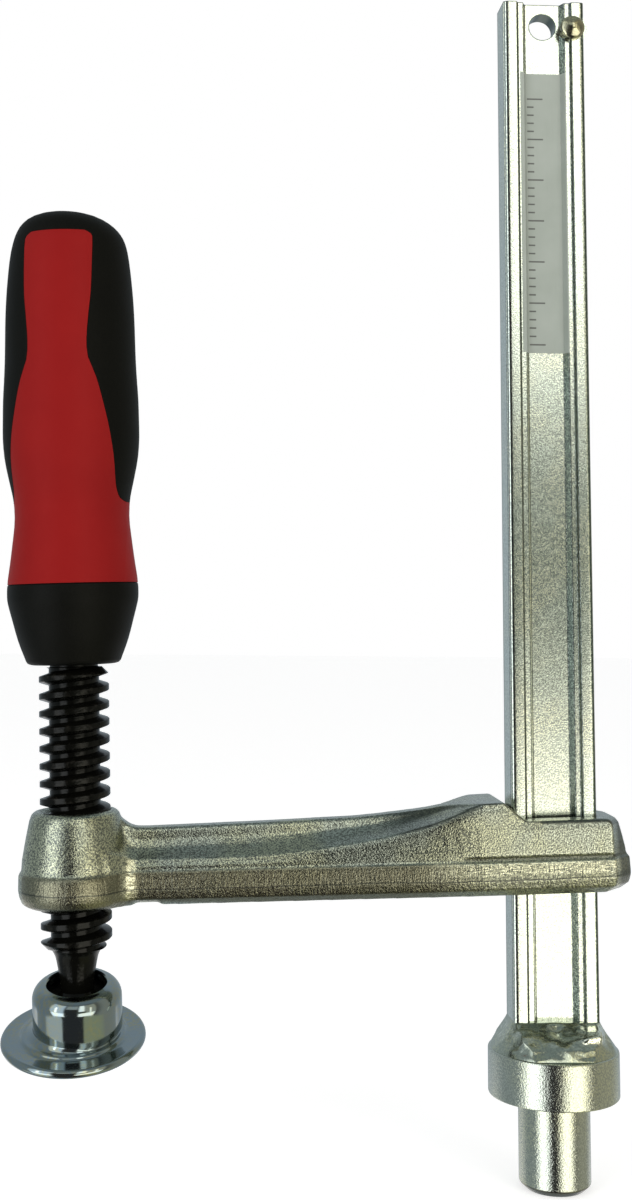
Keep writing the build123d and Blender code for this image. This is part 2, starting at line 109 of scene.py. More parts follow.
camera = bpy.data.objects.new("camera", bpy.data.cameras.new("camera"))
bpy.context.scene.collection.objects.link(camera)
camera.data.lens = 47.456
camera.data.sensor_width = 36
camera.data.shift_x = 0.04295
camera.data.shift_y = -0.15698
camera.data.clip_start = 0.01
camera.data.clip_end = 20
camera.matrix_world = (
    Matrix.Translation(camera_place)
    @ Matrix.Rotation(camera_yaw, 4, "Z")
    @ Matrix.Rotation(camera_pitch, 4, "X")
    @ Matrix.Rotation(camera_roll, 4, "Y")
    @ Matrix.Rotation(radians(90), 4, "X")
)
bpy.context.scene.camera = camera
bpy.context.scene.view_settings.view_transform = "Standard"
print("camera at", [round(value, 3) for value in camera_place])

# %% [markdown]
# A finish is a tree of shader nodes. Writing such a tree as Python sums is far easier to read than
# linking nodes one by one, so a Wire is one socket that can be added and multiplied, and a Finish
# is a material that makes nodes. Plain numbers are set on sockets and never wired.

# %% Shader sums
def overload(operation, reflected=False):
    """A Python operator that adds one Math node; reflected swaps its two sides."""
    def operator(self, *others):
        values = (*others, self) if reflected else (self, *others)
        return self.finish.maths(operation, *values)
    return operator


class Wire:
    """One output socket that takes part in sums."""

    def __init__(self, finish, socket):
        self.finish = finish
        self.socket = socket

    __add__ = overload("ADD")
    __radd__ = overload("ADD", reflected=True)
    __sub__ = overload("SUBTRACT")
    __rsub__ = overload("SUBTRACT", reflected=True)
    __mul__ = overload("MULTIPLY")
    __rmul__ = overload("MULTIPLY", reflected=True)
    __pow__ = overload("POWER")
    __abs__ = overload("ABSOLUTE")


class Finish:
    """A material with one Principled surface, and what feeds it."""

    def __init__(self, tree):
        self.tree = tree

    @classmethod
    def material(cls, name, colour, roughness, metallic=0.0, **constants):
        made = bpy.data.materials.new(name)
        made.use_nodes = True
        finish = cls(made.node_tree)
        finish.made = made
        finish.surface = made.node_tree.nodes["Principled BSDF"]
        finish.feed(Base_Color=(*colour, 1.0), Roughness=roughness, Metallic=metallic, **constants)
        return finish

    def feed(self, **values):
        """Sets or links sockets of the surface; an underscore stands for a space."""
        self.plug(self.surface, {name.replace("_", " "): value for name, value in values.items()})

    def plug(self, node, sockets):
        for name, value in sockets.items():
            if isinstance(value, Wire):
                self.tree.links.new(value.socket, node.inputs[name])
            else:
                node.inputs[name].default_value = value

    def node(self, kind, settings, sockets, out=0):
        """Adds a node: its settings first, then the values or wires of its sockets."""
        made = self.tree.nodes.new(kind)
        for name, value in settings.items():
            setattr(made, name, value)
        self.plug(made, sockets)
        return Wire(self, made.outputs[out])

    def maths(self, operation, *values):
        return self.node("ShaderNodeMath", {"operation": operation}, dict(enumerate(values)))

    def clamped(self, wire, low, high):
        """Runs from 0 to 1, smoothly, while the wire runs from low to high."""
        settings = {"interpolation_type": "SMOOTHSTEP"}
        return self.node("ShaderNodeMapRange", settings, {"Value": wire, 1: low, 2: high})

    def within(self, wire, low, high, blur):
        """1 while the wire is between low and high and 0 outside, with soft ends."""
        inside = self.clamped(wire, low - blur, low + blur)
        return inside * (1 - self.clamped(wire, high - blur, high + blur))

    def mix(self, factor, first, second):
        """A colour that goes from first to second."""
        colours = {6: first, 7: second}
        for name, value in colours.items():
            if isinstance(value, tuple):
                colours[name] = (*value, 1.0)
        return self.node("ShaderNodeMix", {"data_type": "RGBA"}, {0: factor, **colours}, out=2)

    def place(self, turn=None, centre=(0, 0, 0)):
        """The point on the part in millimetres, about a centre and in that frame's directions."""
        spot = self.node("ShaderNodeTexCoord", {}, {}, out="Object")
        if turn is None:
            turn = Matrix.Identity(3)
        settings = {"operation": "SUBTRACT"}
        spot = self.node("ShaderNodeVectorMath", settings, {0: spot, 1: tuple(centre)})
        angles = turn.transposed().to_euler()
        size = 1 / MM
        sockets = {"Vector": spot, "Rotation": tuple(angles), "Scale": (size, size, size)}
        return self.node("ShaderNodeMapping", {}, sockets)

    def split(self, spot):
        """The x, y and z of a place."""
        parts = self.node("ShaderNodeSeparateXYZ", {}, {0: spot})
        return [Wire(self, output) for output in parts.socket.node.outputs]

    def stretched(self, spot, sizes):
        """A place measured in grains of the given millimetre sizes along x, y and z."""
        shares = tuple(1 / size for size in sizes)
        return self.node("ShaderNodeVectorMath", {"operation": "MULTIPLY"}, {0: spot, 1: shares})

    def grain(self, spot, size, detail=2.0, rough=0.5):
        """Soft noise from 0 to 1 with grains of about that many millimetres."""
        sizes = size if isinstance(size, tuple) else (size, size, size)
        where = self.stretched(spot, sizes)
        sockets = {"Vector": where, "Scale": 1.0, "Detail": detail, "Roughness": rough}
        return self.node("ShaderNodeTexNoise", {}, sockets)

    def bumps(self, height, depth):
        """A normal from a height that runs from 0 to 1, over that many millimetres."""
        return self.node("ShaderNodeBump", {}, {"Height": height, "Distance": depth * MM})


print("shader sums are ready")

# %% [markdown]
# The light is a plain studio. Two soft boxes left and right of the camera light the clamp evenly.
# Bright metal shows less of that light than of the room around it, so the room is drawn in the
# world as well, for mirrored rays only. It has cool panels on the left and warm ones on the right,
# each side with a narrow lamp, a dark gap where the camera stands, and a pale wall behind. Real
# boards round the clamp would do the same, but they would also change the light on the floor. The
# panels give every round part its upright bands, and fade the flat rail from bright at both ends
# to grey in its middle. Directions are in degrees: turn is 0 on the camera's side and grows to the
# right, and rise is 0 on the horizon.

# %% Room
room_level = 0.42
front_level = 0.05
cool_side = (0.31, 0.36, 0.38)
warm_side = (0.40, 0.40, 0.33)
back_wall = (0.40, 0.46, 0.50)
ceiling = (0.26, 0.31, 0.32)
side_blend = (-30, 30)
front_ends = (40, 75)
wall_starts = (100, 150)
ceiling_starts = (48, 60)
panel_blur = 3.0

# Each panel has its turn from and to, its rise from and to, and its colour with its level
panels = (
    ((-92, -40), (-62, -30), (0.80, 0.84, 0.78)),
    ((24, 85), (-62, -30), (0.50, 0.51, 0.31)),
    ((-26, 4), (26, 50), (0.55, 0.60, 0.58)),
    ((-63, -30), (-30, -3), (2.50, 2.60, 2.60)),
    ((-66, -30), (-3, 50), (1.05, 1.15, 1.20)),
    ((-52, -49), (-2, 30), (5.5, 5.7, 5.8)),
    ((13, 48), (-30, -3), (2.50, 2.42, 2.05)),
    ((22, 50), (-3, 50), (0.62, 0.60, 0.46)),
    ((35, 37), (-2, 30), (4.2, 4.0, 3.3)),
    ((7, 20), (-30, -6), (2.40, 2.36, 2.05)),
    ((7, 21), (8.0, 50), (2.25, 2.27, 2.05)),
    ((2, 25), (-4.5, 7.5), (0.12, 0.145, 0.12)),
    ((125, 181), (-40, -18), (0.95, 0.95, 0.95)),
    ((-181, -125), (-40, -18), (0.95, 0.95, 0.95)),
)

world = bpy.data.worlds.new("studio")
bpy.context.scene.world = world
world.use_nodes = True
room = Finish(world.node_tree)
path = room.node("ShaderNodeLightPath", {}, {})
seen = {output.name: Wire(room, output) for output in path.socket.node.outputs}
side, ahead, up = room.split(room.node("ShaderNodeTexCoord", {}, {}, out="Generated"))
turn = room.maths("ARCTAN2", side, -1 * ahead) * (180 / pi)
rise = room.maths("ARCSINE", up) * (180 / pi)

sides = room.mix(room.clamped(turn, *side_blend), cool_side, warm_side)
mirrored = room.mix(room.clamped(abs(turn), *front_ends), (front_level,) * 3, sides)
mirrored = room.mix(room.clamped(abs(turn), *wall_starts), mirrored, back_wall)
mirrored = room.mix(room.clamped(rise, *ceiling_starts), mirrored, ceiling)
for turns, rises, colour in panels:
    share = room.within(turn, *turns, panel_blur) * room.within(rise, *rises, panel_blur)
    mirrored = room.mix(share, mirrored, colour)
mirrors = room.maths("MAXIMUM", seen["Is Glossy Ray"], seen["Is Transmission Ray"])
plain = room.mix(mirrors, (room_level,) * 3, mirrored)
shown = room.mix(seen["Is Camera Ray"], plain, (1.0, 1.0, 1.0))
room.plug(world.node_tree.nodes["Background"], {"Color": shown, "Strength": 1.0})
print("panels in the mirrored room:", len(panels))


# %% Soft boxes
box_rise = radians(16)
box_distance = 0.9
box_width = 0.5
box_height = 0.8
box_level = 1.9


def soft_box(name, turn, tint):
    """An upright area light round the clamp, turned from the camera's side, aimed at its middle."""
    middle = (cad_box[0] + cad_box[1]) / 2
    away = Vector((sin(turn) * cos(box_rise), -cos(turn) * cos(box_rise), sin(box_rise)))
    data = bpy.data.lights.new(name, "AREA")
    data.shape = "RECTANGLE"
    data.size = box_width
    data.size_y = box_height
    data.energy = box_level * pi * box_width * box_height
    data.color = tint
    box = bpy.data.objects.new(name, data)
    box.location = middle + away * box_distance
    box.rotation_euler = (-away).to_track_quat("-Z", "Y").to_euler()
    box.visible_camera = False
    box.visible_glossy = False
    bpy.context.scene.collection.objects.link(box)


soft_box("cool_box", radians(-44), (0.93, 0.97, 1.0))
soft_box("warm_box", radians(32), (1.0, 0.97, 0.90))

# %% [markdown]
# The floor is a white sheet at the foot of the pin. To the camera it is nearly as white as the
# backdrop and only keeps the soft shadow. Mirrored rays pass it by and see the room.

# %% Floor
floor_size = 4.0
floor_glow = 0.62

floor_mesh = bmesh.new()
bmesh.ops.create_grid(floor_mesh, x_segments=1, y_segments=1, size=floor_size)
floor_data = bpy.data.meshes.new("floor")
floor_mesh.to_mesh(floor_data)
floor_mesh.free()
floor_data.transform(Matrix.Translation((0, 0, cad_box[0].z)))
ground = bpy.data.objects.new("floor", floor_data)
ground.visible_glossy = False
bpy.context.scene.collection.objects.link(ground)

sheet = Finish.material("white_sheet", (0.82, 0.82, 0.82), 0.9)
rays = sheet.node("ShaderNodeLightPath", {}, {})
glow = Wire(sheet, rays.socket.node.outputs["Is Camera Ray"]) * floor_glow
sheet.feed(Emission_Color=(1.0, 1.0, 1.0, 1.0), Emission_Strength=glow)
floor_data.materials.append(sheet.made)
print("floor at", round(cad_box[0].z, 4))

# %% [markdown]
# New parts are made with mesh operators. A turned part starts as a half outline and is spun about
# its axis, which is how a lathe makes it. Sharp edges get a bevel, or a few close points in the
# outline, because a real edge always has a small radius, and that radius catches the light.

# %% Mesh helpers
def outward(mesh):
    """Turns every face outwards."""
    bmesh.ops.recalc_face_normals(mesh, faces=mesh.faces)


def spun(rows, steps, turns=1, climb=0.0, slack=0.001):
    """A skin turned about Z from (radius, height) rows, which may climb a little at each step."""
    mesh = bmesh.new()
    verts = [mesh.verts.new((radius, 0, height)) for radius, height in rows]
    edges = [mesh.edges.new(pair) for pair in zip(verts, verts[1:])]
    bmesh.ops.spin(
        mesh, geom=verts + edges, cent=(0, 0, 0), axis=(0, 0, 1), angle=2 * pi * turns, steps=steps,
        dvec=(0, 0, climb), use_merge=not climb,
    )
    bmesh.ops.remove_doubles(mesh, verts=mesh.verts, dist=slack)
    return mesh


def lathe(rows, steps=96):
    """A closed turned part from (radius, height) rows."""
    mesh = spun(rows, steps)
    outward(mesh)
    return mesh


def soften(mesh, edges, width, segments=3):
    """Rounds edges with a bevel of that width."""
    bmesh.ops.bevel(
        mesh, geom=edges, offset=width, segments=segments, profile=0.5, affect="EDGES", material=-1
    )


def flowing(points, steps=4):
    """Points on a smooth curve through the given ones."""
    ends = [points[0], *points, points[-1]]
    line = []
    for before, start, end, after in zip(ends, ends[1:], ends[2:], ends[3:]):
        for step in range(steps):
            t = step / steps
            line.append(tuple(
                0.5 * (2 * b + (c - a) * t + (2 * a - 5 * b + 4 * c - d) * t**2
                       + (3 * b - a - 3 * c + d) * t**3)
                for a, b, c, d in zip(before, start, end, after)
            ))
    return line + [points[-1]]


def stored(mesh, name):
    """Turns a finished bmesh into mesh data."""
    data = bpy.data.meshes.new(name)
    mesh.to_mesh(data)
    mesh.free()
    return data


def stand_in(mesh, name):
    """A passing object that holds a mesh while modifiers work on it."""
    holder = bpy.data.objects.new(name, stored(mesh, name))
    bpy.context.scene.collection.objects.link(holder)
    return holder


def worked(holder):
    """The mesh of a passing object after its modifiers, and the object is thrown away."""
    bpy.context.view_layer.update()
    result = bmesh.new()
    result.from_object(holder, bpy.context.evaluated_depsgraph_get())
    bpy.data.objects.remove(holder)
    return result


def combine(first, second, operation):
    """The first mesh joined with, cut by, or kept inside the second."""
    holder = stand_in(first, "first")
    tool = stand_in(second, "second")
    step = holder.modifiers.new("combine", "BOOLEAN")
    step.operation = operation
    step.solver = "EXACT"
    step.object = tool
    result = worked(holder)
    bpy.data.objects.remove(tool)
    return result


def cast(mesh, grain, passes):
    """Melts a mesh into one skin of small even faces with soft edges, like a forging."""
    holder = stand_in(mesh, "cast")
    skin = holder.modifiers.new("skin", "REMESH")
    skin.mode = "VOXEL"
    skin.voxel_size = grain
    soft = holder.modifiers.new("soft", "SMOOTH")
    soft.factor = 0.5
    soft.iterations = passes
    return worked(holder)


def finish_piece(mesh, name, node, home, finish, crease=35):
    """Places a mesh as a named piece that replaces a node; home is its frame and its body."""
    place, body = home
    data = stored(mesh, name)
    data.transform(place)
    data.materials.append(finish.made)
    data.polygons.foreach_set("use_smooth", [True] * len(data.polygons))
    data.set_sharp_from_angle(angle=radians(crease))
    piece = bpy.data.objects.new(name, data)
    bpy.context.scene.collection.objects.link(piece)
    flat = piece.modifiers.new("flat faces stay flat", "WEIGHTED_NORMAL")
    flat.keep_sharp = True
    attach(piece, body)
    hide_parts(node)
    print(name, "has", len(data.polygons), "faces")


# %% [markdown]
# Zinc plating is the clamp's main finish. It is bright, a little grainy where the steel below was
# forged, and it drifts between a cool and a pale straw tint. Painted textures could show it too,
# but noise measured in millimetres has the same grain on every part and needs no unwrapping. One
# function makes them all, and each part picks its own grain and tint.

# %% Zinc finish
def zinc(name, cool, warm, grain, depth, roughness, specks=1.0, patch=14.0):
    """Zinc on steel: two tints in patches, a fine grain, and specks down to a share of the tint."""
    finish = Finish.material(name, cool, roughness, 1.0)
    spot = finish.place()
    patches = finish.clamped(finish.grain(spot, patch, 3.0), 0.38, 0.62)
    sand = finish.grain(spot, grain, 2.0, 0.6)
    dark = tuple(specks * value for value in cool)
    tint = finish.mix(patches, cool, warm)
    finish.spot = spot
    finish.sand = sand
    finish.colour = finish.mix(finish.clamped(sand, 0.41, 0.58), dark, tint)
    finish.feed(
        Base_Color=finish.colour,
        Roughness=roughness + 0.12 * (finish.grain(spot, 4 * grain, 2.0) - 0.5),
        Normal=finish.bumps(sand, depth),
    )
    return finish


plate_finish = zinc(
    "bright_zinc", (0.30, 0.36, 0.39), (0.37, 0.38, 0.30), 0.8, 0.004, 0.10, patch=11.0
)
stop_finish = zinc("stud_zinc", (0.46, 0.44, 0.32), (0.66, 0.61, 0.38), 0.3, 0.015, 0.16, 0.85, 2.4)
print("plain zinc finishes made")

# %% [markdown]
# Four parts need more than the plain plating. The drawn rail gets speckled painted shade on the steps
# of its section, the right step wider than the left, on its lips and rims, round its hole and along
# its top edge, and its narrow sides are painted darker. The pin is darker and browner below its end
# chamfer. The weld gets painted highlights in streaks and one patch. The forged arm gets painted shade
# with a browner tint on its band below the step, painted shade in the groove above it and on edges
# that turn over, painted highlights near the rail and at the boss, upright scratches, and a seam where
# the two halves of the die met. Each is a plain sum of masks, which are 1 inside a range of places
# and 0 outside. So they stay on the very edges that the meshes below get from the same values.

# %% Places that the finishes and the meshes share
rail_high = 253.8
rail_half_width = 9.75
lip_outer = 6.65
lip_inner = 6.2
step_outer = 4.95
step_inner = 4.2
hole_height = 248.1
pin_chamfer = -18.4
parting_height = 3.5
band_top = 7.3
shelf_start = 8.3
print("rail is", 2 * rail_half_width, "mm wide")


# %% Zinc on the rail and the pin
def drawn_zinc():
    """The rail's finish, with speckled painted shade on the steps, the lips and the rims."""
    finish = zinc("drawn_zinc", (0.88, 0.94, 0.86), (0.96, 0.97, 0.82), 0.32, 0.016, 0.18, 0.64)
    across, deep, height = finish.split(finish.spot)
    out = abs(across)
    fine = finish.clamped(finish.grain(finish.spot, (0.22, 0.22, 0.30), 2.0), 0.42, 0.60)
    # Painted shade, speckled: the steps are darkened, the right one wider than the left, and the lips
    # and rims too.
    right_step = finish.within(across, step_inner - 0.25, step_outer + 0.30, 0.10)
    left_step = finish.within(across, -step_outer - 0.15, -step_inner + 0.10, 0.06)
    lips = finish.within(out, lip_inner - 0.10, lip_outer + 0.07, 0.08)
    front_rims = finish.within(out, 8.85, 9.25, 0.08) + finish.within(across, 9.05, 9.60, 0.10)
    narrow = finish.clamped(out, rail_half_width - 0.15, rail_half_width - 0.04)
    side_rims = finish.within(abs(deep), 3.15, 3.80, 0.08) * narrow
    # Painted shade round the hole's rim and along the top edge, which takes in the whole upper end face.
    above = height - hole_height
    from_hole = (across * across + above * above) ** 0.5
    top_edge = finish.clamped(height, rail_high - 0.35, rail_high - 0.20)
    outline = finish.within(from_hole, 3.10, 3.38, 0.05) + top_edge
    speckled = (right_step + left_step + lips) * (0.98 - 0.62 * fine)
    shade = speckled + (front_rims + side_rims) * (0.92 - 0.40 * fine) + outline * 0.95
    shade = finish.maths("MINIMUM", shade, 0.97)
    # Painted shade: the narrow sides are toned darker and bluer.
    toned = finish.mix(narrow * 0.25, finish.colour, (0.20, 0.27, 0.27))
    finish.feed(Base_Color=finish.mix(shade, toned, (0.04, 0.065, 0.055)))
    return finish


def turned_zinc():
    """The pin's and the collar's finish, darker and browner below the chamfer."""
    finish = zinc("turned_zinc", (0.58, 0.61, 0.54), (0.66, 0.67, 0.51), 0.36, 0.070, 0.11, 0.80)
    across, deep, height = finish.split(finish.spot)
    # Darker and browner below the end chamfer.
    below_chamfer = 1 - finish.clamped(height, pin_chamfer - 0.3, pin_chamfer + 0.2)
    finish.feed(Base_Color=finish.mix(below_chamfer * 0.85, finish.colour, (0.10, 0.08, 0.05)))
    return finish


rail_finish = drawn_zinc()
pin_finish = turned_zinc()
print("zinc finishes of the rail and the pin made")


# %% Zinc on the weld and the arm
def welded_zinc():
    """The weld's finish, with painted highlights in streaks and one patch."""
    finish = zinc("weld_zinc", (0.50, 0.54, 0.46), (0.58, 0.59, 0.42), 0.45, 0.030, 0.16, 0.85, 5.0)
    across, deep, height = finish.split(finish.spot)
    # Painted highlights: pale streaks in a band of heights, and one bright patch on the right.
    right = finish.within(across, 3.8, 10.6, 0.8) * finish.within(height, 13.0, 16.2, 0.5)
    highlight_streaks = finish.clamped(finish.grain(finish.spot, (1.8, 1.2, 0.9), 3.0, 0.6), 0.46, 0.70)
    highlight_streaks = finish.within(height, 12.2, 15.4, 0.5) * highlight_streaks * 0.5
    patch = right * finish.clamped(finish.sand, 0.36, 0.52) * 0.9
    shine = finish.maths("MAXIMUM", highlight_streaks, patch)
    finish.feed(Base_Color=finish.mix(shine, finish.colour, (0.98, 0.98, 0.84)))
    return finish


def forged_zinc():
    """The arm's finish, with painted shade and painted highlights; the mesh marks where its edges turn
    over.
    """
    finish = zinc("forged_zinc", (0.53, 0.57, 0.50), (0.62, 0.63, 0.46), 0.36, 0.085, 0.19, 0.36)
    spot = finish.place(lean.to_3x3(), arm_frame.translation)
    across, deep, height = finish.split(spot)
    sides = finish.clamped(abs(deep), 5.0, 6.0)
    by_rail = finish.clamped(across, -34, -14)
    # Painted shade with a browner tint on the band below the step, weaker near the rail.
    band = (1 - finish.clamped(height, band_top - 0.1, band_top + 0.6)) * sides
    wave = height - 0.9 * finish.grain(spot, 9.0, 2.0)
    seam = finish.within(wave, parting_height - 0.45, parting_height - 0.15, 0.12) * sides
    # Painted shade in the groove above the band.
    groove = finish.within(height, band_top + 0.45, shelf_start + 0.20, 0.15)
    groove = groove * finish.clamped(across, -24, -20) * sides
    # Painted shade on the edges that turn over, where the mesh marks them.
    rim = finish.node("ShaderNodeAttribute", {"attribute_name": "rim"}, {}, out="Fac")
    scratches = finish.grain(spot, (0.5, 0.5, 2.4), 3.0, 0.6)
    # Painted highlights: pale glints on the upper band near the rail and at the boss's corner, and a
    # slight brightening near the rail.
    glints = finish.clamped(finish.grain(spot, (1.3, 0.5, 0.3), 2.0), 0.38, 0.60)
    corner = finish.within(across, -97.6, -94.8, 0.9) * finish.within(height, 2.5, 15.0, 1.5) * sides
    upper = finish.within(height, 4.6, band_top, 0.3) * by_rail * sides
    band_shaded = finish.mix(band * (0.80 - 0.60 * by_rail), finish.colour, (0.20, 0.185, 0.125))
    shine = upper * glints * 0.85 + corner * glints * 0.85 + by_rail * 0.08
    lit = finish.mix(shine, band_shaded, (0.97, 0.96, 0.74))
    shade = finish.maths("MAXIMUM", groove * 0.7, rim * 0.75)
    shade = finish.maths("MAXIMUM", seam * 0.8, shade)
    finish.feed(
        Base_Color=finish.mix(shade, lit, (0.06, 0.065, 0.055)),
        Normal=finish.bumps(finish.sand + band * scratches * 1.4, 0.085),
    )
    return finish


weld_finish = welded_zinc()
arm_finish = forged_zinc()
print("zinc finishes of the weld and the arm made")

# %% [markdown]
# The spindle is blackened steel: nearly black and oily, with browner crests where the arm's thread
# has rubbed. The worn places could be painted by hand. Here the distance from the spindle's axis
# finds the crests, and noise breaks them up, so the wear follows the thread by itself.

# %% Blackened steel
def blackened():
    """Black oxide with rubbed crests."""
    dark = (0.004, 0.004, 0.0035)
    finish = Finish.material("black_oxide", dark, 0.14, Specular_IOR_Level=0.15)
    spot = finish.place(lean.to_3x3(), ball_centre)
    x, y, z = finish.split(spot)
    reach = (x * x + y * y) ** 0.5
    crest = finish.clamped(reach, 7.2, 7.95)
    patches = finish.grain(spot, 1.6, 3.0)
    rubbed = crest * finish.clamped(patches, 0.50, 0.70)
    finish.feed(
        Base_Color=finish.mix(rubbed, (0.0040, 0.0040, 0.0030), (0.016, 0.015, 0.012)),
        Roughness=0.13 + 0.06 * rubbed + 0.10 * (patches - 0.5),
        Normal=finish.bumps(finish.grain(spot, 0.6, 3.0), 0.035),
    )
    return finish


spindle_finish = blackened()
print("blackened steel made")

# %% [markdown]
# The handle is two plastics. The red core is hard and satin, and the black grip is a soft rubber
# with a fine skin texture that hardly shines. A plastic is told by its gloss more than its colour,
# so both get faint clouds in their roughness as well, and fine bumps in place of modelled pores.

# %% Handle plastics
def red_plastic():
    """Satin red, a little uneven, as moulded plastic is."""
    finish = Finish.material("red_core", (0.33, 0.010, 0.009), 0.5, Specular_IOR_Level=0.13)
    spot = finish.place()
    cloud = finish.grain(spot, 9.0, 2.0)
    finish.feed(
        Base_Color=finish.mix(cloud, (0.30, 0.009, 0.009), (0.35, 0.012, 0.011)),
        Roughness=0.46 + 0.10 * finish.grain(spot, 3.0, 3.0),
        Normal=finish.bumps(finish.grain(spot, 0.5, 2.0), 0.012),
    )
    return finish


def black_rubber(name, shine):
    """Black that is a little dusty, for the soft grip and the hard skirt."""
    finish = Finish.material(name, (0.006, 0.006, 0.005), shine, Specular_IOR_Level=0.10)
    spot = finish.place()
    dust = finish.clamped(finish.grain(spot, 0.7, 4.0, 0.7), 0.66, 0.78)
    cloud = finish.grain(spot, 7.0, 2.0)
    worn = finish.mix(cloud, (0.0032, 0.0032, 0.0024), (0.0046, 0.0046, 0.0034))
    finish.feed(
        Base_Color=finish.mix(dust, worn, (0.012, 0.012, 0.010)),
        Roughness=shine + 0.12 * (cloud - 0.5),
        Normal=finish.bumps(finish.grain(spot, 0.35, 2.0), 0.03),
    )
    return finish


core_finish = red_plastic()
grip_finish = black_rubber("grip_rubber", 0.58)
skirt_finish = black_rubber("skirt_plastic", 0.50)
print("plastics made")

# %% [markdown]
# The label and the small parts inside the plate keep their construction mesh, because it already
# has all that shows of them. The label is a grey film with a plain scale. Its ticks could be thin
# boxes, but here the height is folded back and forth, which gives one short line again and again.

# %% Finishes of the parts that keep their construction mesh
def label_film():
    """Grey film with a plain scale of even ticks, a long one at every fifth."""
    finish = Finish.material("label_film", (0.42, 0.46, 0.41), 0.30)
    spot = finish.place()
    across, deep, height = finish.split(spot)
    cloud = finish.grain(spot, 6.0, 2.0)
    paper = finish.mix(cloud, (0.37, 0.41, 0.36), (0.46, 0.50, 0.45))
    ticks = finish.maths("PINGPONG", height, tick_step / 2)
    longs = finish.maths("PINGPONG", height, 5 * tick_step / 2)
    reach = 1.6 + 2.2 * (1 - finish.clamped(longs, 0.3, 0.4))
    inked = (1 - finish.clamped(ticks, 0.14, 0.24)) * finish.clamped(across, -4.0, -3.9)
    inked = inked * (1 - finish.clamped(across + 4.0 - reach, 0.0, 0.1))
    inked = inked * finish.within(height, scale_low, scale_high, 0.1)
    finish.feed(
        Base_Color=finish.mix(inked * 0.85, paper, (0.07, 0.07, 0.065)),
        Normal=finish.bumps(finish.grain(spot, (0.6, 0.6, 4.0), 2.0), 0.02),
    )
    return finish


def shaded_inner_steel():
    """Steel deep in the plate's cap, painted nearly black as shade, where hardly any light comes."""
    finish = Finish.material("shaded_inner_steel", (0.012, 0.012, 0.010), 0.5, Specular_IOR_Level=0.2)
    spot = finish.place()
    blotches = finish.grain(spot, 1.2, 3.0)
    finish.feed(
        Base_Color=finish.mix(blotches, (0.008, 0.008, 0.006), (0.018, 0.017, 0.014)),
        Roughness=0.40 + 0.20 * blotches,
        Normal=finish.bumps(finish.grain(spot, 0.4, 2.0), 0.02),
    )
    return finish


tick_step = 2.0
scale_low = 169.0
scale_high = 231.0
spring_finish = shaded_inner_steel()
kept_finishes = {
    "rail": rail_finish,
    "stop_pin": pin_finish,
    "table_pin": pin_finish,
    "weld_bead": weld_finish,
    "rail_sticker": label_film(),
    "sliding_arm": arm_finish,
    "spindle": spindle_finish,
    "ball_ring": spring_finish,
    "thrust_cup": spring_finish,
    "plate_shell": plate_finish,
    "plate_base": spring_finish,
    "retaining_ring": spring_finish,
    "handle_core": core_finish,
    "handle_grip": grip_finish,
    "handle_skirt": skirt_finish,
}
for node, finish in kept_finishes.items():
    data = frame["nodes"][node].data
    data.materials.clear()
    data.materials.append(finish.made)
print("kept nodes dressed:", len(kept_finishes))

# %% [markdown]
# The sliding arm is one forging. It is drawn as three overlapping closed shapes: the beam, lofted
# through upright sections, the eyelet, lofted through level outlines, and the turned boss. Melting
# them into one skin blends them as a forging die does, with soft edges and no seams between them.
# The edge lines below are listed points, as (distance from the rail, height or depth).

# %% Lines of the arm
web_line = (
    (-104, 20.2), (-100, 20.0), (-98, 18.7), (-96.0, 17.1), (-94, 16.5), (-68, 16.8), (-43, 17.35),
    (-29, 18.6), (-21, 19.9), (-17, 20.3), (-12, 20.2), (-7.2, 16.2), (-4, 16.2),
)
edge_line = (
    (-104, 14), (-98, 11.6), (-95, 10.5), (-70, 10.6), (-58, 11.3), (-50, 12.4), (-42, 13.4),
    (-35, 14.8), (-27, 16.8), (-21.4, 19.0), (-17, 20.2), (-12, 20.3), (-7.2, 16.1), (-4, 16.1),
)
shelf_line = (
    (-104, 10.6), (-100.5, 10.0), (-98.4, 8.2), (-96.6, 6.8), (-94.6, 6.3), (-18, 9.7), (-4, 9.7),
)
web_half = 2.4
edge_round = 1.6
groove_sink = 0.45
eyelet_depth = 9.7
notch_start = -94.9
notch_end = -89.3
notch_depth = 0.55


def along(line, place):
    """The value of a listed line at a place, with straight runs between its points."""
    for (start, low), (end, high) in zip(line, line[1:]):
        if place <= end:
            return low + (high - low) * max(0, place - start) / (end - start)
    return line[-1][1]


def eased(value, low, high):
    """Runs smoothly from 0 to 1 while a value runs from low to high."""
    share = min(1, max(0, (value - low) / (high - low)))
    return share * share * (3 - 2 * share)


print("web rises", round(along(web_line, -17) - along(web_line, -60), 2), "mm")


# %% Beam and eyelet sections
def beam_half(place):
    """One half of the beam's upright section, from its underside up to its top, as (depth, height)."""
    shelf = along(shelf_line, place)
    edge = along(edge_line, place)
    web = max(along(web_line, place), edge + 0.1)
    band = shelf + 0.42 + 0.2 * eased(place, -60, -20)
    draft = 0.30 * eased(place, -32, -20)
    sink = groove_sink * eased(place, -24, -19)
    drop = shelf - 0.3 * (1 - eased(place, -30, -20))
    notch = eased(place, notch_start - 0.4, notch_start + 0.4)
    lift = notch_depth * (notch - eased(place, notch_end - 0.4, notch_end + 0.4))
    hollow = max(drop - web_half, 0) * eased(web - edge, 0.0, 1.6)
    rise = web - 0.5 - edge
    turns = [radians(angle) for angle in (25, 45, 65, 90)]
    cove = [(drop - hollow * sin(turn), edge + rise * (1 - cos(turn))) for turn in turns]
    return [
        (band - 2.2, lift), (band - 0.5, 1.5), (band, parting_height), (band - draft, band_top),
        (shelf - sink, band_top + 0.4), (shelf - sink, shelf_start), (shelf, shelf_start + 0.4),
        (drop, edge - edge_round), (drop - 0.2 * edge_round, edge - 0.3 * edge_round), *cove,
        (drop - hollow - 0.5, web),
    ]


